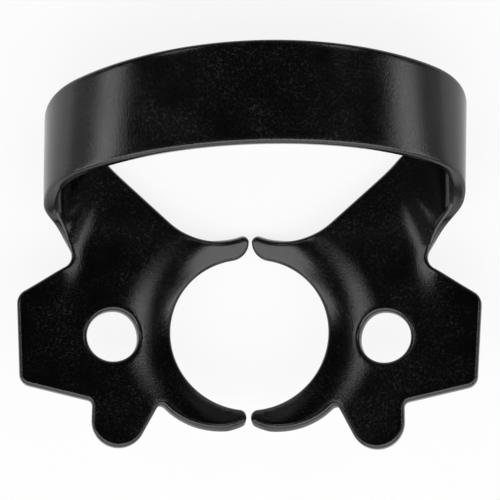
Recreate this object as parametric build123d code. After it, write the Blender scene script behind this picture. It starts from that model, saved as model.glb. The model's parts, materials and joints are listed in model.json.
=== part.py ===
from build123d import *

import os
from math import atan2, cos, degrees, exp, hypot, radians, sin, sqrt, tan

# Rubber dam clamp for a molar: one piece of spring steel sheet, stamped, bent into a bow and two jaws.
# It is drawn in its own axes first, in millimetres: X runs across from jaw to jaw, Y runs from the front tabs
# to the bow at the back, and Z points up, away from the gum. It is laid down at the end, as on a table.

# Sheet
sheet = 0.8
edge_break = 0.14

# Jaws, drawn flat: u runs outwards from the middle of the clamp, v runs backwards from the forceps holes
jaw_slope = radians(9)
bite_radius = 4.65
bite_centre_v = 0.6
tip_gap = 0.2
hole_diameter = 3.15
hole_to_bite = 2.03

# Dish that turns the bite edge and the prongs down
dish_reach = 2.35
dish_bend_radius = 2.5
dish_angle = radians(25)

# Rear prong: the edge towards the bow is an arc that runs out into a straight line to the fold
rear_prong_width = 0.97
rear_arc_radius = 4.4
rear_arc_u = 2.1
rear_line_angle = radians(41.4)

# Front prong: its outer edge is one arc from the tab to the tip
front_prong_width = 1.32
front_arc_radius = 4.0
front_arc_u = 2.15

# Front tab: a round end with one side square to the wing and one side slanting in to the prong
tab_radius = 1.62
tab_inset = 0.5
tab_reach = 5.15
tab_side_angle = radians(62.5)

# Wing: its corners, from the neck round to the tab
wing_overhang = 3.0
wing_rear_v = 2.3
wing_front_v = -3.1
wing_taper = 0.4
wing_rear_angle = radians(33)
wing_front_angle = radians(12)

# Corner radii of the outline
notch_radius = 0.85
notch_clearance = 1.15
wing_rear_round = 0.9
wing_front_round = 0.75
tab_root_round = 0.35
prong_root_round = 0.3
rear_tip_round = 0.3
rear_bite_round = 0.95
front_tip_round = 0.42
front_bite_round = 0.4

# Bow: a three-centred arch over a fold at each side, whose bend starts further in towards the rear
bow_span = 25.6
bow_rise = 8.4
shoulder_radius = 6.0
fold_radius = 1.2
fold_slant = 0.4
neck_angle = radians(58)
rear_flare = 2.95
bow_width = 5.72
front_lean = 0.06
rear_lean = 0.13

# Set that forming left in the bow: it is turned and shifted a little against the jaws, wider at the back,
# and its crown is tilted to the front
bow_skew = 0.036
bow_shift = 0.55
bow_cone = 0.05
bow_tilt = 0.22

# Sections of the bow along each half
fold_steps = 8
shoulder_steps = 4
crown_steps = 3

# Search for the angle at which the clamp comes to rest
most_tilt = radians(60)
tilt_steps = 30
point_spacing = 0.01

# The fold's place follows from the bow's span: its centre is level with the bow's widest point
hole_u = bite_radius + hole_to_bite + hole_diameter / 2
fold_outer = fold_radius + sheet
fold_x = bow_span / 2 - fold_outer
neck_u = (fold_x + fold_radius * sin(jaw_slope)) / cos(jaw_slope)
fold_z = neck_u * sin(jaw_slope) + fold_radius * cos(jaw_slope)

# The dish, in radius from the bite's axis and height: its rim, and where its bend runs out into a cone
dish_rim = bite_radius + dish_reach
cone_start = dish_rim - dish_bend_radius * sin(dish_angle)
cone_start_z = dish_bend_radius * (cos(dish_angle) - 1)
# The prongs drop with the dish, and the jaw's slope spreads their tips, so they are drawn that much closer
tip_drop = (cone_start - bite_radius - rear_prong_width / 2) * tan(dish_angle) - cone_start_z
tip_u = tip_gap / 2 - tip_drop * tan(jaw_slope)


def along(start, angle, distance):
    """The point at a distance from start in a direction given in radians from +u."""
    return (start[0] + distance * cos(angle), start[1] + distance * sin(angle))


def jaw_outline():
    """Flat outline of the right jaw, with its neck cut straight where the fold starts."""
    bite_v = sqrt(bite_radius**2 - tip_u**2)
    bite_rear = (tip_u, bite_centre_v + bite_v)
    bite_front = (tip_u, bite_centre_v - bite_v)
    bite_side = (bite_radius, bite_centre_v)

    rear_centre = (rear_arc_u, bite_centre_v + bite_radius + rear_prong_width + rear_arc_radius)
    rear_tip = (tip_u, rear_centre[1] - sqrt(rear_arc_radius**2 - (rear_arc_u - tip_u) ** 2))
    rear_low = along(rear_centre, radians(-90), rear_arc_radius)
    rear_end = along(rear_centre, rear_line_angle - radians(90), rear_arc_radius)

    # The notch between wing and fold is rounded wholly on the flat side of the neck
    notch_turn = radians(180) - wing_rear_angle - neck_angle
    notch_tangent = notch_radius * tan(notch_turn / 2)
    wing_side_u = neck_u + wing_overhang
    wing_rear = (wing_side_u, wing_rear_v)
    notch_u = neck_u - notch_clearance * notch_tangent * cos(neck_angle)
    notch = (notch_u, wing_rear_v + (wing_side_u - notch_u) * tan(wing_rear_angle))
    neck_front = (neck_u, notch[1] + (neck_u - notch_u) * tan(neck_angle))
    wing_front = (wing_side_u - wing_taper, wing_front_v)
    # The neck line slants inwards until it meets the rear line
    straight_v = rear_end[1] + (neck_u - rear_end[0]) * tan(rear_line_angle)
    neck_depth = (straight_v - neck_front[1]) / (1 + fold_slant * tan(rear_line_angle))
    neck_rear = (neck_u - fold_slant * neck_depth, neck_front[1] + neck_depth)

    tab_centre = (hole_u - tab_inset, -tab_reach)
    tab_outer = along(tab_centre, 0, tab_radius)
    tab_root = (tab_outer[0], wing_front_v - (wing_front[0] - tab_outer[0]) * tan(wing_front_angle))
    # The tab's root is rounded no further than the straight side of the tab has room for
    root_turn = radians(90) - wing_front_angle
    root_room = (tab_root[1] - tab_outer[1]) / tan(root_turn / 2) / notch_clearance
    tab_end = along(tab_centre, radians(-90), tab_radius)
    tab_inner = along(tab_centre, radians(-90) - tab_side_angle, tab_radius)

    front_centre = (front_arc_u, bite_centre_v - bite_radius - front_prong_width + front_arc_radius)
    front_tip = (tip_u, front_centre[1] - sqrt(front_arc_radius**2 - (front_arc_u - tip_u) ** 2))
    front_low = along(front_centre, radians(-90), front_arc_radius)
    # The tab's slanting side runs up until it meets the prong's arc
    side = radians(180) - tab_side_angle
    gap_u, gap_v = tab_inner[0] - front_centre[0], tab_inner[1] - front_centre[1]
    half = gap_u * cos(side) + gap_v * sin(side)
    run = -half - sqrt(half**2 - gap_u**2 - gap_v**2 + front_arc_radius**2)
    prong_root = along(tab_inner, side, run)

    edges = [
        ThreePointArc(rear_tip, rear_low, rear_end),
        Line(rear_end, neck_rear),
        Line(neck_rear, neck_front),
        Line(neck_front, notch),
        Line(notch, wing_rear),
        Line(wing_rear, wing_front),
        Line(wing_front, tab_root),
        Line(tab_root, tab_outer),
        ThreePointArc(tab_outer, tab_end, tab_inner),
        Line(tab_inner, prong_root),
        ThreePointArc(prong_root, front_low, front_tip),
        Line(front_tip, bite_front),
        ThreePointArc(bite_front, bite_side, bite_rear),
        Line(bite_rear, rear_tip),
    ]
    outline = make_face(edges)
    corners = [
        (notch, notch_radius),
        (wing_rear, wing_rear_round),
        (wing_front, wing_front_round),
        (tab_root, min(tab_root_round, root_room)),
        (prong_root, prong_root_round),
        (rear_tip, rear_tip_round),
        (bite_rear, rear_bite_round),
        (front_tip, front_tip_round),
        (bite_front, front_bite_round),
    ]
    for corner, radius in corners:
        nearest = outline.vertices().sort_by_distance((*corner, 0))[0]
        outline = fillet(nearest, radius)
    return outline, neck_front, neck_rear


def dished_sheet(reach):
    """Round sheet, flat outside and dished to a cone in the middle, about the bite's own axis."""
    cone_foot = bite_radius / 2
    inner_bend = dish_bend_radius - sheet
    bend_centre = (dish_rim, -dish_bend_radius)
    upright = radians(90)
    top_mid = along(bend_centre, upright + dish_angle / 2, dish_bend_radius)
    top_end = along(bend_centre, upright + dish_angle, dish_bend_radius)
    low_mid = along(bend_centre, upright + dish_angle / 2, inner_bend)
    low_end = along(bend_centre, upright + dish_angle, inner_bend)
    top_foot = (cone_foot, top_end[1] - (top_end[0] - cone_foot) * tan(dish_angle))
    low_foot = (cone_foot, low_end[1] - (low_end[0] - cone_foot) * tan(dish_angle))
    edges = [
        Line((reach, 0), (dish_rim, 0)),
        ThreePointArc((dish_rim, 0), top_mid, top_end),
        Line(top_end, top_foot),
        Line(top_foot, low_foot),
        Line(low_foot, low_end),
        ThreePointArc(low_end, low_mid, (dish_rim, -sheet)),
        Line((dish_rim, -sheet), (reach, -sheet)),
        Line((reach, -sheet), (reach, 0)),
    ]
    # Half a turn puts the seam of the revolved faces on the far side, clear of the jaw
    turned = Rot(0, 0, 180) * revolve(Plane.XZ * make_face(edges), Axis.Z)
    return Pos(0, bite_centre_v, 0) * turned


def right_jaw():
    """The right jaw with its hole and broken edges, at its slope, and the two ends of its neck along v."""
    outline, neck_front, neck_rear = jaw_outline()
    reach = hypot(neck_u + wing_overhang, neck_rear[1])
    blank = Pos(0, 0, -reach) * extrude(outline, 2 * reach)
    jaw = dished_sheet(reach) & blank
    jaw -= Pos(hole_u, 0, 0) * Cylinder(hole_diameter / 2, 4 * sheet)
    # Every edge between a cut wall and the sheet's faces is broken, but not the neck's, where the bow goes on
    steep = cos(radians(45))
    neck_middle = ((neck_front[0] + neck_rear[0]) / 2, (neck_front[1] + neck_rear[1]) / 2, -sheet / 2)
    neck = jaw.faces().sort_by_distance(neck_middle)[0]
    rims = []
    for face in jaw.faces():
        is_wall = abs(face.normal_at().Z) < steep
        if is_wall and face != neck:
            rims += [edge for edge in face.edges() if abs((edge % 0.5).Z) < steep]
    jaw = chamfer(rims, edge_break)
    return Rot(0, -degrees(jaw_slope), 0) * jaw, neck_front[1], neck_rear[1]


def bow_sections(neck_front, neck_rear):
    """Sections of the bow from the right neck to the left one, as closed wires."""
    reach = bow_span / 2 - shoulder_radius
    crown_radius = (reach**2 + bow_rise**2 - shoulder_radius**2) / (2 * (bow_rise - shoulder_radius))
    crown_z = fold_z + bow_rise
    meeting = atan2(crown_radius - bow_rise, reach)
    # Each arc: centre, radius of the sheet's middle, the angle of its normal at both ends, and its steps
    arcs = [
        ((fold_x, fold_z), fold_radius + sheet / 2, jaw_slope - radians(90), 0, fold_steps),
        ((reach, fold_z), shoulder_radius - sheet / 2, 0, meeting, shoulder_steps),
        ((0, crown_z - crown_radius), crown_radius - sheet / 2, meeting, radians(90), crown_steps),
    ]
    # The strip leans back as it rises, and flares forwards and inwards to the neck as it comes down
    bow_rear = neck_rear + rear_flare + rear_lean * bow_rise
    bow_front = bow_rear - bow_width
    front_flare = bow_front - front_lean * bow_rise - neck_front
    # Both edges leave the neck in line with the jaw's, and the slanting fold draws out the sheet at the rear
    fold_run = (fold_radius + sheet / 2) * (radians(90) - jaw_slope)
    drawn_out = 1 + 2 * fold_slant * (neck_rear - neck_front) / fold_run
    front_fade = front_flare / tan(neck_angle)
    rear_rate = (drawn_out + fold_slant * tan(neck_angle)) / (1 / tan(rear_line_angle) + fold_slant)
    rear_fade = rear_flare / rear_rate
    stations = []
    run = 0
    for centre, radius, start, end, steps in arcs:
        for step in range(steps):
            stations.append((centre, radius, start + (end - start) * step / steps, run))
            run += radius * (end - start) / steps
    stations.append((arcs[-1][0], arcs[-1][1], radians(90), run))

    def section(centre, radius, normal, run, side):
        """One closed wire across the strip, its corners broken along the strip's own slanting edges."""
        x, z = along(centre, normal, radius)
        fall = bow_rise - max(z - fold_z, 0)
        front_left = exp(-run / front_fade)
        rear_left = exp(-run / rear_fade)
        formed = (1 - front_left) ** 2
        slant = fold_slant * max(1 - run / fold_run, 0) ** 2
        tilt = bow_tilt * formed * sin(normal)
        turn = side * x * bow_skew * formed
        front = bow_front - front_lean * fall - front_flare * front_left + turn
        rear = bow_rear - rear_lean * fall - rear_flare * rear_left + turn
        middle = (front + rear) / 2
        front_slope = tan(neck_angle) * front_left
        rear_slope = tan(rear_line_angle) * rear_left
        front_break = edge_break * hypot(1, front_slope) / (1 + slant * front_slope)
        rear_break = edge_break * hypot(1, rear_slope) / (1 + slant * rear_slope)
        face = sheet / 2
        wall = face - edge_break
        corners = [
            (front + front_break, -face),
            (rear - rear_break, -face),
            (rear, -wall),
            (rear, wall),
            (rear - rear_break, face),
            (front + front_break, face),
            (front, wall),
            (front, -wall),
        ]
        points = []
        for y, level in corners:
            drawn_in = slant * (y - front)
            out = level + bow_cone * formed * (y - middle)
            points.append((
                side * (x + out * cos(normal) - drawn_in * cos(jaw_slope)) + bow_shift * formed,
                y - tilt * level,
                z + out * sin(normal) - drawn_in * sin(jaw_slope) + tilt * (y - middle),
            ))
        return Wire.make_polygon(points, close=True)

    right = [section(*station, 1) for station in stations]
    left = [section(*station, -1) for station in stations[:-1]]
    return right + left[::-1]


def rest_tilt(solid):
    """How far the clamp tips back, in radians, until it rests on points ahead of and behind its middle."""
    points, _ = solid.tessellate(point_spacing)
    middle = solid.center(CenterOf.MASS)
    least = 0
    most = most_tilt
    for _ in range(tilt_steps):
        tilt = (least + most) / 2
        lowest = min(points, key=lambda point: point.Z * cos(tilt) - point.Y * sin(tilt))
        ahead = (lowest.Y - middle.Y) * cos(tilt) + (lowest.Z - middle.Z) * sin(tilt)
        if ahead < 0:
            least = tilt
        else:
            most = tilt
    return tilt


jaw, neck_front_v, neck_rear_v = right_jaw()
bow = Solid.make_loft(bow_sections(neck_front_v, neck_rear_v))
clamp = jaw + bow + mirror(jaw, about=Plane.YZ)

# Laid down: it rests on the rear prongs and on the two rear corners of its necks
clamp = Rot(-degrees(rest_tilt(clamp)), 0, 0) * clamp
box = clamp.bounding_box()
clamp = Pos(-box.center().X, -box.center().Y, -box.min.Z) * clamp

os.makedirs("parts", exist_ok=True)
export_step(clamp, "parts/clamp_body.step")
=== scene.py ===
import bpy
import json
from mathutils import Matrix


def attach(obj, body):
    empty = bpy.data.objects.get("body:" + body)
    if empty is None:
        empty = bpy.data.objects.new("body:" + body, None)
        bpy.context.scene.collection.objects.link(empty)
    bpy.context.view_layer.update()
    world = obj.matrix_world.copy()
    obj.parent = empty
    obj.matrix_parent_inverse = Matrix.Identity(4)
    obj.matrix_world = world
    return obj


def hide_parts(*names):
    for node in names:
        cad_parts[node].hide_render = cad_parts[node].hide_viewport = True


bl_info = {
    "name": "Rubber dam clamp",
    "version": (1, 0, 0),
    "blender": (4, 5, 0),
    "location": "3D View > Sidebar > Clamp",
    "description": "A winged molar clamp of satin black spring steel on a pale studio floor",
    "category": "Add Mesh",
}

import json
from math import asin, atan2, cos, radians, sin, sqrt, tan

import bmesh
import bpy
import numpy as np
from mathutils import Matrix, Vector
from mathutils.geometry import delaunay_2d_cdt

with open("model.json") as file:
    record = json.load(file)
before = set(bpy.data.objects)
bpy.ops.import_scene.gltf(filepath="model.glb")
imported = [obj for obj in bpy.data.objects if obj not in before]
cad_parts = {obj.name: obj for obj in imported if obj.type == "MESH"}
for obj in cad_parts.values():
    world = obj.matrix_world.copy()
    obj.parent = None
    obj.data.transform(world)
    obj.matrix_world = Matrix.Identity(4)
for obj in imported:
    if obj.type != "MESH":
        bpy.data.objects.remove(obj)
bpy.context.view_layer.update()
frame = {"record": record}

# The right forceps hole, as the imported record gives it, fixes how the clamp lies in the frame
right_hole = next(mount for mount in frame["record"]["mounts"] if mount["name"] == "forceps_hole_right")
lay_axis = right_hole["axis"]
jaw_slope = asin(-lay_axis[0])
rest_tilt = atan2(lay_axis[1], lay_axis[2])
hole_radius = right_hole["dims"]["r_mm"] / 1000

# Spacing of the points along the jaw's outline and over its faces, in metres, and the share of a step
# that the points on a face keep from its rims
OUTLINE_STEP = 0.0001
FACE_STEP = 0.0002
RIM_SHARE = 0.6
# Points across the bow's faces, round each quarter of an edge's section, and along each arc of the bow
ACROSS_POINTS = 25
EDGE_POINTS = 6
BOW_POINTS = 44
# Length over which an edge's section turns into line with the neck, and gap that is welded, in metres
NECK_BLEND = 0.0008
WELD = 1e-6
# The net over a face is worked out in tenths of a millimetre, so that its numbers are near one
NET_SCALE = 1e4
NET_TOLERANCE = 1e-6

# Stretches of the noise's range that show as flecks (painted glints), as thick clouds and as changes of
# gloss
FLECK_RANGE = (0.53, 0.73)
CLOUD_RANGE = (0.36, 0.64)
GLOSS_RANGE = (0.3, 0.7)

# Point that the lamps are turned to, in metres
LAMP_AIM = (0, 0, 0.004)
# The camera's sensor, in millimetres, and the nearest and furthest that it sees, in metres
SENSOR_WIDTH = 36
CLIP_NEAR = 0.005
CLIP_FAR = 20


def size(name, millimetres, description):
    """A length that a user may change, given in millimetres and kept in metres."""
    return bpy.props.FloatProperty(
        name=name, description=description, default=millimetres / 1000, unit="LENGTH", precision=5
    )


def angle(name, degrees, description):
    """An angle that a user may change, given in degrees."""
    return bpy.props.FloatProperty(
        name=name, description=description, default=radians(degrees), subtype="ANGLE"
    )


def share(name, default, description):
    """A plain ratio that a user may change."""
    return bpy.props.FloatProperty(name=name, description=description, default=default, precision=4)


def colour(name, default, description):
    """A linear colour that a user may change."""
    return bpy.props.FloatVectorProperty(
        name=name, description=description, default=default, size=3, min=0, max=1, subtype="COLOR"
    )


class JawSizes(bpy.types.PropertyGroup):
    """Sizes of the two jaws, drawn flat: u runs outwards, v runs backwards from the forceps holes."""

    sheet: size("Sheet", 0.8, "Thickness of the steel sheet")
    edge_radius: size("Edge radius", 0.235, "Radius that tumbling leaves on the sheet's cut edges")
    bite_radius: size("Bite radius", 4.65, "Radius of the edge that grips the tooth")
    bite_centre: size("Bite centre", 0.6, "How far the bite's axis lies behind the forceps holes")
    tip_gap: size("Tip gap", 0.2, "Gap between the tips of the two jaws")
    hole_to_bite: size("Hole to bite", 2.03, "Steel between the forceps hole and the bite edge")
    dish_cone: size("Dish cone", 1.796, "How far the dish would reach past the bite with a sharp rim")
    dish_bend: size("Dish bend", 8.0, "Radius of the bend at the dish's rim beside the forceps hole")
    prong_bend: size("Prong bend", 2.5, "Radius of that bend behind the prongs")
    dish_angle: angle("Dish angle", 25, "How steeply the dish turns the prongs down")
    rear_prong: size("Rear prong", 0.97, "Width of the rear prong at its narrowest")
    rear_arc: size("Rear arc", 4.4, "Radius of the rear prong's outer edge")
    rear_arc_u: size("Rear arc place", 2.1, "Where the rear prong's arc is centred, along u")
    rear_line_angle: angle("Rear line", 41.4, "Slant of the edge from the rear prong to the fold")
    front_prong: size("Front prong", 1.32, "Width of the front prong at its widest")
    front_arc: size("Front arc", 4.0, "Radius of the front prong's outer edge")
    front_arc_u: size("Front arc place", 2.15, "Where the front prong's arc is centred, along u")
    tab_radius: size("Tab radius", 1.62, "Radius of the front tab's round end")
    tab_inset: size("Tab inset", 0.5, "How far the tab's middle lies inside the forceps hole's")
    tab_reach: size("Tab reach", 5.15, "How far the tab's round end lies in front of the forceps hole")
    tab_side_angle: angle("Tab side", 62.5, "Slant of the tab's inner side")
    wing_overhang: size("Wing overhang", 3.0, "How far the wing stands out past the neck")
    wing_rear: size("Wing rear corner", 2.3, "Place of the wing's rear corner, along v")
    wing_front: size("Wing front corner", -3.1, "Place of the wing's front corner, along v")
    wing_taper: size("Wing taper", 0.4, "How far in from its rear corner the wing's front one lies")
    wing_rear_angle: angle("Wing rear edge", 33, "Slant of the wing's rear edge")
    wing_front_angle: angle("Wing front edge", 12, "Slant of the wing's front edge")
    notch_round: size("Notch round", 0.85, "Radius of the notch between wing and neck")
    notch_clearance: share("Notch clearance", 1.15, "Room from notch to fold, in tangent lengths")
    wing_rear_round: size("Wing rear round", 0.9, "Radius of the wing's rear corner")
    wing_front_round: size("Wing front round", 0.75, "Radius of the wing's front corner")
    tab_root_round: size("Tab root round", 0.35, "Radius of the corner between wing and tab")
    prong_root_round: size("Prong root round", 0.3, "Radius of the corner between tab and front prong")
    rear_tip_round: size("Rear tip round", 0.3, "Radius of the rear tip's outer corner")
    rear_bite_round: size("Rear bite round", 0.95, "Radius of the rear tip's corner at the bite")
    front_tip_round: size("Front tip round", 0.42, "Radius of the front tip's outer corner")
    front_bite_round: size("Front bite round", 0.4, "Radius of the front tip's corner at the bite")


class BowSizes(bpy.types.PropertyGroup):
    """Sizes of the bow that springs over from jaw to jaw."""

    span: size("Span", 25.6, "Width of the bow at its widest")
    rise: size("Rise", 8.4, "Height of the bow's crown over its widest points")
    shoulder_radius: size("Shoulder radius", 6.0, "Outer radius of the bow's shoulders")
    fold_radius: size("Fold radius", 1.2, "Inner radius of the fold between bow and neck")
    fold_slant: share("Fold slant", 0.4, "How far in the fold's start runs for each unit to the rear")
    fold_swell: size("Fold swell", 0.38, "How far the sheet swells into the fold as its bend starts")
    fold_lead: size("Fold lead", 0.7, "How far past the neck line that swell is highest")
    fold_spread: size("Fold spread", 0.95, "How far that swell spreads towards the jaw")
    fold_settle: size("Fold settle", 1.0, "How far that swell spreads towards the bow")
    fold_tail: size("Fold tail", 2.2, "How far that swell runs on into the wing")
    neck_angle: angle("Neck angle", 58, "Slant of the front edge where it leaves the neck")
    rear_flare: size("Rear flare", 2.95, "How far the rear edge runs back between neck and bow")
    width: size("Width", 5.72, "Width of the strip at the crown")
    front_lean: share("Front lean", 0.06, "How far the front edge leans back per unit of rise")
    rear_lean: share("Rear lean", 0.13, "How far the rear edge leans back per unit of rise")
    skew: share("Skew", 0.036, "Turn that forming left in the bow")
    shift: size("Shift", 0.55, "How far forming left the bow to one side")
    cone: share("Cone", 0.05, "How much wider the bow gets to the rear, per unit of the strip's width")
    tilt: share("Tilt", 0.22, "How far the crown is tilted to the front")


class SteelFinish(bpy.types.PropertyGroup):
    """Colours and texture of the blackened steel."""

    black: colour("Black", (0.0004, 0.0004, 0.00045), "Colour of the finish on flat faces")
    # Pale tint for the rubbed edges' wear and for the flecks, which are painted glints
    wear_and_glints: colour("Wear and glints", (0.02, 0.02, 0.021), "Colour of the flecks and of rubbed edges")
    shine: share("Shine", 0.6, "Specular level of the finish")
    gloss: share("Roughness", 0.175, "Roughness of the finish")
    gloss_spread: share("Roughness spread", 0.06, "How far the roughness changes to either side")
    grain: size("Grain", 0.1, "Size of the tumbled grain")
    grain_depth: share("Grain depth", 0.07, "Depth of the grain per unit of its size")
    clouds: size("Clouds", 2.5, "Size of the faint clouds in the finish")
    # The flecks are painted glints, pale spots in the steel's base colour
    fleck: size("Fleck", 0.14, "Size of the pale flecks in the finish")


class StageLook(bpy.types.PropertyGroup):
    """The floor, the light and the camera."""

    floor: colour("Floor", (0.94, 0.94, 0.94), "Colour of the floor")
    floor_reach: size("Floor reach", 2000, "How far the floor runs out from its middle")
    floor_white: share("Floor white", 0.85, "Share of white that the camera and the steel see in it")
    surround: colour("Surround", (0.55, 0.56, 0.58), "Colour of the room's own dim light")
    surround_strength: share("Surround strength", 0.05, "Strength of that light")
    aim_x: size("Aim X", 0.0693, "Point that the camera looks at, along X")
    aim_y: size("Aim Y", -0.42, "Point that the camera looks at, along Y")
    aim_z: size("Aim Z", 4.04, "Point that the camera looks at, along Z")
    distance: size("Distance", 110.0, "Distance from the camera to the point that it looks at")
    lean: angle("Lean", 5.76, "How far behind straight above the camera stands")
    yaw: angle("Yaw", 1.5, "How far to the right of straight above the camera stands")
    lens: share("Lens", 131.6, "Focal length of the camera in millimetres on a 36 mm sensor")


def toward(start, direction, distance):
    """The point at a distance from start in a direction given in radians from +u."""
    return np.array([start[0] + distance * cos(direction), start[1] + distance * sin(direction)])


def straight(start, end):
    """Points on a straight edge between two ends."""
    count = int(np.hypot(*np.subtract(end, start)) / OUTLINE_STEP) + 2
    return np.linspace(start, end, count)


def arc(centre, radius, first, last):
    """Points on a round edge: the centre plus the radius times the cosine and sine of each angle."""
    count = int(abs(last - first) * radius / OUTLINE_STEP) + 2
    turn = np.linspace(first, last, count)
    return np.add(centre, radius * np.column_stack([np.cos(turn), np.sin(turn)]))


def trimmed(edge, skip_start, skip_end):
    """The same edge without a length at either end, with its points spread evenly over what is left."""
    reach = np.append(0, np.cumsum(np.hypot(*np.diff(edge, axis=0).T)))
    stop = reach[-1] - skip_end
    places = np.linspace(skip_start, stop, int((stop - skip_start) / OUTLINE_STEP) + 2)
    return np.column_stack([np.interp(places, reach, edge[:, 0]), np.interp(places, reach, edge[:, 1])])


def heading(step):
    """A step made one unit long."""
    return step / np.hypot(*step)


def fillet(before, after):
    """Cubic curve from one edge to the next along their headings, as near to round as a cubic can be."""
    start, end = before[-1], after[0]
    leave, join = heading(before[-1] - before[-2]), heading(after[1] - after[0])
    turn = np.arccos(np.clip(leave @ join, -1, 1))
    radius = np.hypot(*(end - start)) / (2 * sin(turn / 2))
    handle = 4 / 3 * tan(turn / 4) * radius
    t = np.linspace(0, 1, int(turn * radius / OUTLINE_STEP) + 4)[1:-1, None]
    pull = (1 - t) ** 3 * start + 3 * (1 - t) ** 2 * t * (start + leave * handle)
    return pull + 3 * (1 - t) * t**2 * (end - join * handle) + t**3 * end


def rounded(edges, radii):
    """Joins edges to one line: each corner gives up the length that its fillet takes, and a curve fills
    the gap."""
    cuts = [0]
    for before, after, radius in zip(edges, edges[1:], radii):
        leave, join = heading(before[-1] - before[-2]), heading(after[1] - after[0])
        cuts.append(radius * tan(np.arccos(np.clip(leave @ join, -1, 1)) / 2))
    cuts.append(0)
    sides = [trimmed(edge, skip, cut) for edge, skip, cut in zip(edges, cuts, cuts[1:])]
    line = [sides[0]]
    for before, after, radius in zip(sides, sides[1:], radii):
        if radius:
            line.append(fillet(before, after))
        line.append(after if radius else after[1:])
    return np.concatenate(line)


def neck_place(jaw, bow):
    """Where the flat neck ends and the fold starts, along u, and the fold's centre across and up."""
    fold_x = bow.span / 2 - bow.fold_radius - jaw.sheet
    neck_u = (fold_x + bow.fold_radius * sin(jaw_slope)) / cos(jaw_slope)
    fold_z = neck_u * sin(jaw_slope) + bow.fold_radius * cos(jaw_slope)
    return neck_u, fold_x, fold_z


def hole_place(jaw):
    """Middle of the forceps hole, along u."""
    return jaw.bite_radius + jaw.hole_to_bite + hole_radius


def jaw_outline(jaw, bow):
    """Outline of the flat right jaw from the front of its neck round to the rear: straight edges and
    arcs between the corners, with each corner rounded."""
    back, turn = radians(90), radians(180)
    neck_u = neck_place(jaw, bow)[0]
    bite = np.array([0, jaw.bite_centre])

    # The prongs drop with the dish and the jaw's slope spreads their tips, so they are drawn closer
    prong_drop = (jaw.dish_cone - jaw.rear_prong / 2) * tan(jaw.dish_angle)
    tip_u = jaw.tip_gap / 2 - prong_drop * tan(jaw_slope)
    bite_turn = asin(sqrt(jaw.bite_radius**2 - tip_u**2) / jaw.bite_radius)
    if tip_u < 0:
        bite_turn = turn - bite_turn
    bite_front = toward(bite, -bite_turn, jaw.bite_radius)
    bite_rear = toward(bite, bite_turn, jaw.bite_radius)

    rear_v = jaw.bite_centre + jaw.bite_radius + jaw.rear_prong + jaw.rear_arc
    rear_centre = np.array([jaw.rear_arc_u, rear_v])
    rear_turn = -back - asin((jaw.rear_arc_u - tip_u) / jaw.rear_arc)
    rear_tip = toward(rear_centre, rear_turn, jaw.rear_arc)
    rear_end = toward(rear_centre, jaw.rear_line_angle - back, jaw.rear_arc)

    wing_u = neck_u + jaw.wing_overhang
    notch_tangent = jaw.notch_round * tan((turn - jaw.wing_rear_angle - bow.neck_angle) / 2)
    notch_u = neck_u - jaw.notch_clearance * notch_tangent * cos(bow.neck_angle)
    notch = np.array([notch_u, jaw.wing_rear + (wing_u - notch_u) * tan(jaw.wing_rear_angle)])
    neck_front = np.array([neck_u, notch[1] + (neck_u - notch_u) * tan(bow.neck_angle)])
    # The neck line slants inwards until it meets the rear line
    straight_v = rear_end[1] + (neck_u - rear_end[0]) * tan(jaw.rear_line_angle)
    neck_depth = (straight_v - neck_front[1]) / (1 + bow.fold_slant * tan(jaw.rear_line_angle))
    neck_rear = neck_front + neck_depth * np.array([-bow.fold_slant, 1])
    wing_rear = np.array([wing_u, jaw.wing_rear])
    wing_front = np.array([wing_u - jaw.wing_taper, jaw.wing_front])

    tab_centre = np.array([hole_place(jaw) - jaw.tab_inset, -jaw.tab_reach])
    tab_outer = toward(tab_centre, 0, jaw.tab_radius)
    tab_root_v = jaw.wing_front - (wing_front[0] - tab_outer[0]) * tan(jaw.wing_front_angle)
    tab_root = np.array([tab_outer[0], tab_root_v])
    tab_turn = -back - jaw.tab_side_angle
    tab_inner = toward(tab_centre, tab_turn, jaw.tab_radius)

    front_v = jaw.bite_centre - jaw.bite_radius - jaw.front_prong + jaw.front_arc
    front_centre = np.array([jaw.front_arc_u, front_v])
    front_turn = -back - asin((jaw.front_arc_u - tip_u) / jaw.front_arc)
    front_tip = toward(front_centre, front_turn, jaw.front_arc)
    # The tab's slanting side runs up until it meets the front prong's arc
    side = turn - jaw.tab_side_angle
    gap = tab_inner - front_centre
    half = gap @ toward((0, 0), side, 1)
    prong_root = toward(tab_inner, side, -half - sqrt(half**2 - gap @ gap + jaw.front_arc**2))
    root_turn = atan2(*(prong_root - front_centre)[::-1])

    edges = [
        straight(neck_front, notch),
        straight(notch, wing_rear),
        straight(wing_rear, wing_front),
        straight(wing_front, tab_root),
        straight(tab_root, tab_outer),
        arc(tab_centre, jaw.tab_radius, 0, tab_turn),
        straight(tab_inner, prong_root),
        arc(front_centre, jaw.front_arc, root_turn, front_turn),
        straight(front_tip, bite_front),
        arc(bite, jaw.bite_radius, -bite_turn, bite_turn),
        straight(bite_rear, rear_tip),
        arc(rear_centre, jaw.rear_arc, rear_turn, jaw.rear_line_angle - back),
        straight(rear_end, neck_rear),
    ]
    # Radius of the corner after each edge, with zero where one edge runs smoothly into the next
    radii = [
        jaw.notch_round,
        jaw.wing_rear_round,
        jaw.wing_front_round,
        jaw.tab_root_round,
        0,
        0,
        jaw.prong_root_round,
        jaw.front_tip_round,
        jaw.front_bite_round,
        jaw.rear_bite_round,
        jaw.rear_tip_round,
        0,
    ]
    return rounded(edges, radii)


def edge_profile(jaw):
    """Section of a tumbled edge from the sheet's upper face round to its lower one: how far each point
    lies in from the cut, its depth as a share of the sheet, and how bare rubbing leaves it. Each corner
    is a quarter circle, and it is rubbed most halfway round."""
    turn = np.linspace(0, radians(90), EDGE_POINTS)
    inset = jaw.edge_radius * (1 - np.sin(turn))
    depth = jaw.edge_radius * (1 - np.cos(turn)) / jaw.sheet
    rubbed = np.sin(2 * turn)
    return (
        np.append(inset, inset[::-1]),
        np.append(depth, 1 - depth[::-1]),
        np.append(rubbed, rubbed[::-1]),
    )


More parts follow.
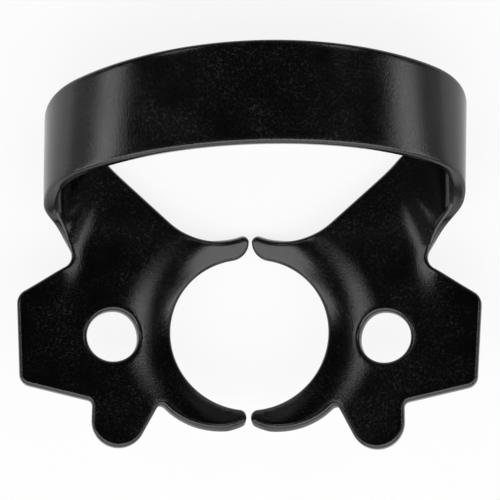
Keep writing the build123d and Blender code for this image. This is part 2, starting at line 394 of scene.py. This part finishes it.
def grid_faces(rows, columns, around_rows=False, around_columns=False):
    """Four-cornered faces of a grid of points held row by row, closed round its rows or columns where
    that is said."""
    row = np.arange(rows if around_rows else rows - 1)[:, None]
    column = np.arange(columns if around_columns else columns - 1)[None, :]
    next_row = (row + 1) % rows
    next_column = (column + 1) % columns
    corners = [
        row * columns + column,
        next_row * columns + column,
        next_row * columns + next_column,
        row * columns + next_column,
    ]
    return np.stack(np.broadcast_arrays(*corners), -1).reshape(-1, 4)


def inward_of(line, closed):
    """Unit steps from a line into the steel on its right: its heading turned a quarter to the right."""
    ahead = np.roll(line, -1, 0) - np.roll(line, 1, 0) if closed else np.gradient(line, axis=0)
    return np.column_stack([ahead[:, 1], -ahead[:, 0]]) / np.hypot(*ahead.T)[:, None]


def inside(points, loop):
    """True for the points whose ray along +u crosses the closed loop an odd number of times."""
    u, v = points[:, 0][:, None], points[:, 1][:, None]
    here, there = loop, np.roll(loop, -1, 0)
    spans = (here[:, 1] > v) != (there[:, 1] > v)
    rise = there[:, 1] - here[:, 1]
    slant = (there[:, 0] - here[:, 0]) / np.where(rise == 0, 1, rise)
    crossed = spans & (u < here[:, 0] + slant * (v - here[:, 1]))
    return crossed.sum(1) % 2 == 1


def face_net(loop, hole):
    """Points and triangles over the flat face between a loop and a hole: staggered rows of points a step
    apart, joined to each other and to both edges so that no point lies in another triangle's circle."""
    low, high = loop.min(0), loop.max(0)
    u, v = np.mgrid[low[0] : high[0] : FACE_STEP, low[1] : high[1] : FACE_STEP]
    u[:, 1::2] += FACE_STEP / 2
    rows = np.column_stack([u.ravel(), v.ravel()])
    rows = rows[inside(rows, loop) & ~inside(rows, hole)]
    rims = np.concatenate([loop, hole])
    clear = np.hypot(rows[:, :1] - rims[:, 0], rows[:, 1:] - rims[:, 1]).min(1)
    points = np.concatenate([rims, rows[clear > FACE_STEP * RIM_SHARE]])

    here = np.arange(len(rims))
    there = here + 1
    there[len(loop) - 1] = 0
    there[-1] = len(loop)
    sides = np.column_stack([here, there])
    triangles_inside = 1
    places = (points * NET_SCALE).tolist()
    net = delaunay_2d_cdt(places, sides.tolist(), [], triangles_inside, NET_TOLERANCE)
    if len(net[0]) != len(points):
        raise RuntimeError("the jaw's outline crosses itself")
    triangles = np.array(net[2])
    in_hole = ((triangles >= len(loop)) & (triangles < len(rims))).all(1)
    return points, triangles[~in_hole]


def fold_swell(bow, run):
    """How far the sheet swells towards the inside of the fold at a run past the neck line: a bell curve
    that is wider on one side of its peak than on the other."""
    past = run - bow.fold_lead
    spread = np.where(past < 0, bow.fold_spread, bow.fold_settle)
    return bow.fold_swell * np.exp(-((past / spread) ** 2))


def dished(jaw, bow, neck, flat, depth):
    """Places of flat points in the formed sheet, whose walls stay square to its dish. Outside its rim
    the dish is level. From there in towards the bite's axis it bends down on a circle, which is smaller
    behind the prongs, and runs on as a cone. A point at some depth lies that far down square to the
    upper face. Next to the neck line the sheet starts to swell up."""
    across = flat - (0, jaw.bite_centre)
    radius = np.hypot(across[..., 0], across[..., 1])
    bend = jaw.prong_bend + (jaw.dish_bend - jaw.prong_bend) * (across[..., 0] / radius) ** 2
    rim = jaw.bite_radius + jaw.dish_cone + bend * tan(jaw.dish_angle / 2)
    inward = np.maximum(rim - radius, 0)
    on_bend = np.minimum(inward, bend * sin(jaw.dish_angle))
    slope = np.arcsin(on_bend / bend)
    down = depth * jaw.sheet
    top = bend * (np.cos(slope) - 1) - (inward - on_bend) * tan(jaw.dish_angle)

    # The swell follows the neck line, and runs straight on and fades out in the wing ahead of it
    beyond = flat - neck
    behind = np.maximum(beyond[..., 1], 0)
    ahead = np.minimum(beyond[..., 1], 0)
    run = (beyond[..., 0] + bow.fold_slant * behind) / np.hypot(1, bow.fold_slant)
    swell = fold_swell(bow, run) * np.exp(-((ahead / bow.fold_tail) ** 2))

    z = top - down * np.cos(slope) + swell
    spread = 1 + down * np.sin(slope) / radius
    u, v = across[..., 0] * spread, across[..., 1] * spread + jaw.bite_centre
    x = u * cos(jaw_slope) - z * sin(jaw_slope)
    up = u * sin(jaw_slope) + z * cos(jaw_slope)
    return np.stack([x, v, up], -1)


def mitre(slope, slant):
    """How much longer an edge's section is along a slanting fold, if the edge runs off at a slope."""
    return np.hypot(1, slope) / (1 + slant * slope)


def jaw_blocks(jaw, bow):
    """Blocks of points, faces and rubbing for the right jaw: the edge profile carried round the outline
    and the hole, and a net over both faces. Returns the blocks and the neck line's two ends along v."""
    inset, depth, rubbed = edge_profile(jaw)
    outline = jaw_outline(jaw, bow)
    steps = inward_of(outline, False)
    # Towards both ends of the neck the profile turns into the neck line, along which it is longer
    reach = np.append(0, np.cumsum(np.hypot(*np.diff(outline, axis=0).T)))
    at_front = np.clip(1 - reach / NECK_BLEND, 0, 1)[:, None]
    at_rear = np.clip(1 - (reach[-1] - reach) / NECK_BLEND, 0, 1)[:, None]
    neck_line = np.array([-bow.fold_slant, 1])
    steps = steps * (1 - at_front) + at_front * neck_line * mitre(tan(bow.neck_angle), bow.fold_slant)
    steps = steps * (1 - at_rear) - at_rear * neck_line * mitre(tan(jaw.rear_line_angle), bow.fold_slant)
    turn = np.linspace(0, radians(360), int(radians(360) * hole_radius / OUTLINE_STEP), endpoint=False)
    hole = np.column_stack([hole_place(jaw) + hole_radius * np.cos(turn), hole_radius * np.sin(turn)])

    blocks = []
    for line, inward, closed in [(outline, steps, False), (hole, inward_of(hole, True), True)]:
        flat = line[:, None] + inward[:, None] * inset[:, None]
        points = dished(jaw, bow, outline[0], flat, depth).reshape(-1, 3)
        blocks.append((points, grid_faces(len(line), len(inset), closed), np.tile(rubbed, len(line))))

    start = outline[0] + steps[0] * inset[0]
    end = outline[-1] + steps[-1] * inset[0]
    neck = np.linspace(end, start, ACROSS_POINTS)[1:-1]
    loop = np.concatenate([outline + steps * inset[0], neck])
    net, triangles = face_net(loop, hole + inward_of(hole, True) * inset[0])
    for level in (0, 1):
        blocks.append((dished(jaw, bow, outline[0], net, level), triangles, np.zeros(len(net))))
    return blocks, outline[0, 1], outline[-1, 1]


def bow_arch(jaw, bow):
    """Stations along the middle of the sheet, over a three-centred arch from the right neck to the left
    one. Returns their places across and up as in the right half, the angles of their normals, their runs
    from the nearer neck and their sides, each as one column."""
    _, fold_x, fold_z = neck_place(jaw, bow)
    reach = bow.span / 2 - bow.shoulder_radius
    squares = reach**2 + bow.rise**2 - bow.shoulder_radius**2
    crown_radius = squares / (2 * (bow.rise - bow.shoulder_radius))
    meeting = atan2(crown_radius - bow.rise, reach)
    middle = jaw.sheet / 2
    # Each arc: its centre across and up, the sheet's middle radius, and its normal's angle at both ends
    arcs = [
        (fold_x, fold_z, bow.fold_radius + middle, jaw_slope - radians(90), 0),
        (reach, fold_z, bow.shoulder_radius - middle, 0, meeting),
        (0, fold_z + bow.rise - crown_radius, crown_radius - middle, meeting, radians(90)),
    ]
    stations = []
    run = 0
    for centre_x, centre_z, radius, first, last in arcs:
        normal = np.linspace(first, last, BOW_POINTS, endpoint=False)
        along = run + radius * (normal - first)
        x, z = centre_x + radius * np.cos(normal), centre_z + radius * np.sin(normal)
        stations.append(np.column_stack([x, z, normal, along]))
        run += radius * (last - first)
    crown = np.array([[0, fold_z + bow.rise - middle, radians(90), run]])
    half = np.concatenate(stations)
    x, z, normal, run = np.concatenate([half, crown, half[::-1]]).T[:, :, None]
    side = np.sign(len(half) + 0.5 - np.arange(len(x)))[:, None]
    return x, z, normal, run, side


def bow_block(jaw, bow, neck_front, neck_rear):
    """Block of points, faces and rubbing for the bow: the strip's section carried along its arch. The
    strip's edges flare to the necks as an exponential of the run from them."""
    x, z, normal, run, side = bow_arch(jaw, bow)
    fold_z = neck_place(jaw, bow)[2]
    middle = jaw.sheet / 2

    fall = bow.rise - np.maximum(z - fold_z, 0)
    bow_rear = neck_rear + bow.rear_flare + bow.rear_lean * bow.rise
    bow_front = bow_rear - bow.width
    front_flare = bow_front - bow.front_lean * bow.rise - neck_front
    # Both edges leave the neck in line with the jaw's, and the slanting fold draws out the rear
    fold_run = (bow.fold_radius + middle) * (radians(90) - jaw_slope)
    drawn_out = 1 + 2 * bow.fold_slant * (neck_rear - neck_front) / fold_run
    rear_rate = drawn_out + bow.fold_slant * tan(bow.neck_angle)
    rear_rate /= 1 / tan(jaw.rear_line_angle) + bow.fold_slant
    front_left = np.exp(-run * tan(bow.neck_angle) / front_flare)
    rear_left = np.exp(-run * rear_rate / bow.rear_flare)
    formed = (1 - front_left) ** 2
    slant = bow.fold_slant * np.maximum(1 - run / fold_run, 0) ** 2
    tilt = bow.tilt * formed * np.sin(normal)
    turned = side * x * bow.skew * formed
    front = bow_front - bow.front_lean * fall - front_flare * front_left + turned
    rear = bow_rear - bow.rear_lean * fall - bow.rear_flare * rear_left + turned

    # The section runs over the inner face, round the rear edge, and back over the outer face to the front
    inset, depth, rubbed = edge_profile(jaw)
    front_edge = front + inset * mitre(tan(bow.neck_angle) * front_left, slant)
    rear_edge = rear - inset * mitre(tan(jaw.rear_line_angle) * rear_left, slant)
    across = np.linspace(0, 1, ACROSS_POINTS)[1:-1]
    face = front_edge[:, :1] + (rear_edge[:, :1] - front_edge[:, :1]) * across
    y = np.concatenate([face, rear_edge, face[:, ::-1], front_edge[:, ::-1]], 1)
    flat = np.zeros(len(across))
    depth = np.concatenate([flat, depth, flat + 1, depth[::-1]])
    rubbed = np.concatenate([flat, rubbed, flat, rubbed[::-1]])
    level = depth * jaw.sheet - middle
    behind = y - (front + rear) / 2
    past_neck = (run + (bow.fold_slant - slant) * (y - front)) / np.hypot(1, bow.fold_slant)
    out = level + bow.cone * formed * behind - fold_swell(bow, past_neck)
    drawn_in = slant * (y - front)
    across_x = side * (x + out * np.cos(normal) - drawn_in * cos(jaw_slope)) + bow.shift * formed
    up = z + out * np.sin(normal) - drawn_in * sin(jaw_slope) + tilt * behind
    points = np.stack([across_x, y - tilt * level, up], -1)
    faces = grid_faces(*y.shape, around_columns=True)
    return points.reshape(-1, 3), faces, np.tile(rubbed, len(y))


def laid_down(jaw, points):
    """Places in the frame of points in the clamp's own axes, tipped back about X and set by its hole."""
    hole_u, depth = hole_place(jaw), -jaw.sheet / 2
    x = hole_u * cos(jaw_slope) - depth * sin(jaw_slope)
    z = hole_u * sin(jaw_slope) + depth * cos(jaw_slope)
    level, drop = cos(rest_tilt), sin(rest_tilt)
    tip = np.array([[1, 0, 0], [0, level, drop], [0, -drop, level]])
    return (points - (x, 0, z)) @ tip.T + right_hole["pos_m"]


def clamp_mesh(jaw, bow):
    """The whole clamp as one closed mesh: the right jaw, its mirror image and the bow, welded at the
    necks, with the rubbing of its edges as an attribute."""
    blocks, neck_front, neck_rear = jaw_blocks(jaw, bow)
    mirrored = [(points * (-1, 1, 1), faces[:, ::-1], rubbed) for points, faces, rubbed in blocks]
    blocks = blocks + mirrored + [bow_block(jaw, bow, neck_front, neck_rear)]
    starts = np.cumsum([0] + [len(points) for points, _, _ in blocks])
    faces = []
    for (_, block_faces, _), start in zip(blocks, starts):
        faces += (block_faces + start).tolist()
    mesh = bpy.data.meshes.new("clamp")
    places = laid_down(jaw, np.concatenate([points for points, _, _ in blocks]))
    mesh.from_pydata(places, [], faces)
    rubbing = np.concatenate([rubbed for _, _, rubbed in blocks])
    attribute = mesh.attributes.new("rubbed", "FLOAT", "POINT")
    attribute.data.foreach_set("value", rubbing.astype(np.float32))

    welded = bmesh.new()
    welded.from_mesh(mesh)
    bmesh.ops.remove_doubles(welded, verts=welded.verts, dist=WELD)
    bmesh.ops.recalc_face_normals(welded, faces=welded.faces)
    open_edges = sum(not edge.is_manifold for edge in welded.edges)
    welded.to_mesh(mesh)
    welded.free()
    if open_edges:
        raise RuntimeError(f"the clamp's surface is open along {open_edges} edges")
    mesh.shade_smooth()
    return mesh


def add_node(tree, kind, **values):
    """A new node of that kind, with its own settings and the values of its named inputs."""
    node = tree.nodes.new(kind)
    for name, value in values.items():
        if hasattr(node, name):
            setattr(node, name, value)
        else:
            node.inputs[name.replace("_", " ").title()].default_value = value
    return node


def by_identifier(sockets, identifier):
    """The socket with that identifier, because a Mix node has several of one name."""
    return next(socket for socket in sockets if socket.identifier == identifier)


def noise(tree, place, spot, detail, roughness):
    """Noise over the surface, with spots of about that size."""
    texture = add_node(tree, "ShaderNodeTexNoise", scale=1 / spot, detail=detail, roughness=roughness)
    tree.links.new(place, texture.inputs["Vector"])
    return texture.outputs["Fac"]


def stretched(tree, value, stretch, low=0, high=1):
    """A value whose stretch of its range is spread from low to high, and held level outside it."""
    first, last = stretch
    spread = add_node(tree, "ShaderNodeMapRange", from_min=first, from_max=last, to_min=low, to_max=high)
    tree.links.new(value, spread.inputs["Value"])
    return spread.outputs["Result"]


def combined(tree, operation, *values):
    """The sum or product of some values, held between 0 and 1."""
    result = add_node(tree, "ShaderNodeMath", operation=operation, use_clamp=True)
    for value, place in zip(values, result.inputs):
        tree.links.new(value, place)
    return result.outputs["Value"]


def steel_material(finish):
    """Satin black finish on steel: a fine tumbled grain in bump and roughness, faint clouds, pale flecks
    that are painted glints, and rubbed edges."""
    material = bpy.data.materials.new("blackened_steel")
    material.use_nodes = True
    tree = material.node_tree
    link = tree.links.new
    shader = tree.nodes["Principled BSDF"]
    shader.inputs["Metallic"].default_value = 0
    shader.inputs["Specular IOR Level"].default_value = finish.shine

    place = add_node(tree, "ShaderNodeTexCoord").outputs["Object"]
    grain = noise(tree, place, finish.grain, detail=2, roughness=0.5)
    clouds = noise(tree, place, finish.clouds, detail=4, roughness=0.55)
    flecks = noise(tree, place, finish.fleck, detail=1, roughness=0.5)

    # Only the highest spots of the flecks' noise show as painted glints, and fewer where the clouds are
    # thin
    strewn = combined(
        tree, "MULTIPLY", stretched(tree, flecks, FLECK_RANGE), stretched(tree, clouds, CLOUD_RANGE)
    )
    rubbed = add_node(tree, "ShaderNodeAttribute", attribute_name="rubbed").outputs["Fac"]
    # The tint mixes the wear of the rubbed edges with the painted glints of the flecks
    wear_and_glints = combined(tree, "MULTIPLY_ADD", rubbed, clouds, strewn)
    tint = add_node(tree, "ShaderNodeMix", data_type="RGBA")
    by_identifier(tint.inputs, "A_Color").default_value = (*finish.black, 1)
    by_identifier(tint.inputs, "B_Color").default_value = (*finish.wear_and_glints, 1)
    link(wear_and_glints, by_identifier(tint.inputs, "Factor_Float"))
    link(by_identifier(tint.outputs, "Result_Color"), shader.inputs["Base Color"])

    # The gloss follows the grain and the clouds in equal parts
    mottle = add_node(tree, "ShaderNodeMix", data_type="FLOAT", factor=0.5)
    link(grain, by_identifier(mottle.inputs, "A_Float"))
    link(clouds, by_identifier(mottle.inputs, "B_Float"))
    mottled = by_identifier(mottle.outputs, "Result_Float")
    low, high = finish.gloss - finish.gloss_spread, finish.gloss + finish.gloss_spread
    link(stretched(tree, mottled, GLOSS_RANGE, low, high), shader.inputs["Roughness"])

    bump = add_node(tree, "ShaderNodeBump", strength=1, distance=finish.grain * finish.grain_depth)
    link(grain, bump.inputs["Height"])
    link(bump.outputs["Normal"], shader.inputs["Normal"])
    return material


class CLAMP_OT_body(bpy.types.Operator):
    """Build the clamp's formed sheet and give it its blackened finish"""

    bl_idname = "clamp.body"
    bl_label = "Clamp body"

    def execute(self, context):
        scene = context.scene
        mesh = clamp_mesh(scene.clamp_jaw, scene.clamp_bow)
        mesh.materials.append(steel_material(scene.clamp_finish))
        clamp = bpy.data.objects.new("clamp", mesh)
        scene.collection.objects.link(clamp)
        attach(clamp, "root")
        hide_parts("clamp_body")
        return {"FINISHED"}


def floor_material(look):
    """Pale floor that takes the clamp's shadow, and that the camera and the steel see as nearly white."""
    material = bpy.data.materials.new("pale_floor")
    material.use_nodes = True
    tree = material.node_tree
    link = tree.links.new
    tree.nodes.remove(tree.nodes["Principled BSDF"])
    matt = add_node(tree, "ShaderNodeBsdfDiffuse")
    matt.inputs["Color"].default_value = (*look.floor, 1)
    white = add_node(tree, "ShaderNodeEmission", strength=1)

    path = add_node(tree, "ShaderNodeLightPath")
    seen = path.outputs["Is Camera Ray"]
    for ray in ("Is Glossy Ray", "Is Transmission Ray"):
        seen = combined(tree, "ADD", seen, path.outputs[ray])
    part = add_node(tree, "ShaderNodeMath", operation="MULTIPLY")
    part.inputs[1].default_value = look.floor_white
    link(seen, part.inputs[0])
    mix = add_node(tree, "ShaderNodeMixShader")
    link(part.outputs["Value"], mix.inputs["Fac"])
    link(matt.outputs["BSDF"], mix.inputs[1])
    link(white.outputs["Emission"], mix.inputs[2])
    link(mix.outputs["Shader"], tree.nodes["Material Output"].inputs["Surface"])
    return material


def add_floor(scene, look):
    """Square floor under the clamp, level with the frame's origin."""
    reach = look.floor_reach
    corners = [(-reach, -reach, 0), (reach, -reach, 0), (reach, reach, 0), (-reach, reach, 0)]
    mesh = bpy.data.meshes.new("floor")
    mesh.from_pydata(corners, [], [(0, 1, 2, 3)])
    mesh.materials.append(floor_material(look))
    floor = bpy.data.objects.new("floor", mesh)
    scene.collection.objects.link(floor)


def add_surround(scene, look):
    """The room's own dim light, the same from all sides."""
    world = bpy.data.worlds.new("studio")
    world.use_nodes = True
    scene.world = world
    surround = world.node_tree.nodes["Background"]
    surround.inputs["Color"].default_value = (*look.surround, 1)
    surround.inputs["Strength"].default_value = look.surround_strength


def add_lamp(scene, name, place, width, depth, watts):
    """Rectangular soft lamp at a place, turned to the clamp."""
    data = bpy.data.lights.new(name, "AREA")
    data.shape = "RECTANGLE"
    data.size = width
    data.size_y = depth
    data.energy = watts
    lamp = bpy.data.objects.new(name, data)
    lamp.location = place
    lamp.rotation_euler = (Vector(LAMP_AIM) - Vector(place)).to_track_quat("-Z", "Y").to_euler()
    scene.collection.objects.link(lamp)


def add_lamps(scene):
    """Soft lamps above and in front, and at each side a softbox, a strip at the back and a broad wall,
    with places and sizes in metres."""
    add_lamp(scene, "top_softbox", place=(0, -0.2, 0.5), width=1.5, depth=0.36, watts=4.1)
    add_lamp(scene, "front_softbox", place=(0, -0.5, 0.21), width=0.9, depth=0.42, watts=1.6)
    for name, side in (("left", -1), ("right", 1)):
        softbox = (side * 0.49, -0.035, 0.24)
        strip = (side * 0.29, 0.27, 0.38)
        wall = (side * 0.9, -0.2, 0.12)
        add_lamp(scene, f"{name}_softbox", place=softbox, width=0.39, depth=0.11, watts=0.36)
        add_lamp(scene, f"{name}_strip", place=strip, width=0.15, depth=0.13, watts=0.14)
        add_lamp(scene, f"{name}_wall", place=wall, width=1.0, depth=0.24, watts=0.42)


def add_camera(scene, look):
    """Camera nearly straight above the clamp, leaning a little to the back."""
    data = bpy.data.cameras.new("camera")
    data.sensor_width = SENSOR_WIDTH
    data.lens = look.lens
    data.clip_start = CLIP_NEAR
    data.clip_end = CLIP_FAR
    camera = bpy.data.objects.new("camera", data)
    back = Vector((sin(look.yaw) * cos(look.lean), sin(look.lean), cos(look.yaw) * cos(look.lean)))
    right = Vector((0, 1, 0)).cross(back).normalized()
    turn = Matrix((right, back.cross(right), back)).transposed()
    place = Vector((look.aim_x, look.aim_y, look.aim_z)) + back * look.distance
    camera.matrix_world = Matrix.Translation(place) @ turn.to_4x4()
    scene.collection.objects.link(camera)
    scene.camera = camera


class CLAMP_OT_stage(bpy.types.Operator):
    """Lay the pale floor and set the light and the camera"""

    bl_idname = "clamp.stage"
    bl_label = "Stage"

    def execute(self, context):
        scene = context.scene
        look = scene.clamp_stage
        scene.view_settings.view_transform = "Standard"
        add_floor(scene, look)
        add_surround(scene, look)
        add_lamps(scene)
        add_camera(scene, look)
        return {"FINISHED"}


class CLAMP_PT_panel(bpy.types.Panel):
    """Lists the clamp's sizes and the steps that build it"""

    bl_idname = "CLAMP_PT_panel"
    bl_label = "Rubber dam clamp"
    bl_space_type = "VIEW_3D"
    bl_region_type = "UI"
    bl_category = "Clamp"

    def draw(self, context):
        for group_name in GROUPS:
            group = getattr(context.scene, group_name)
            column = self.layout.column()
            for name in group.bl_rna.properties.keys():
                if name not in ("rna_type", "name"):
                    column.prop(group, name)
        self.layout.operator(CLAMP_OT_body.bl_idname)
        self.layout.operator(CLAMP_OT_stage.bl_idname)


GROUPS = {
    "clamp_jaw": JawSizes,
    "clamp_bow": BowSizes,
    "clamp_finish": SteelFinish,
    "clamp_stage": StageLook,
}
TOOLS = [CLAMP_OT_body, CLAMP_OT_stage, CLAMP_PT_panel]


def register():
    for name, group in GROUPS.items():
        bpy.utils.register_class(group)
        setattr(bpy.types.Scene, name, bpy.props.PointerProperty(type=group))
    for tool in TOOLS:
        bpy.utils.register_class(tool)


def unregister():
    for tool in reversed(TOOLS):
        bpy.utils.unregister_class(tool)
    for name, group in GROUPS.items():
        delattr(bpy.types.Scene, name)
        bpy.utils.unregister_class(group)


def main():
    """Builds the clamp and its stage."""
    register()
    bpy.ops.clamp.body()
    bpy.ops.clamp.stage()


if __name__ == "__main__":
    main()
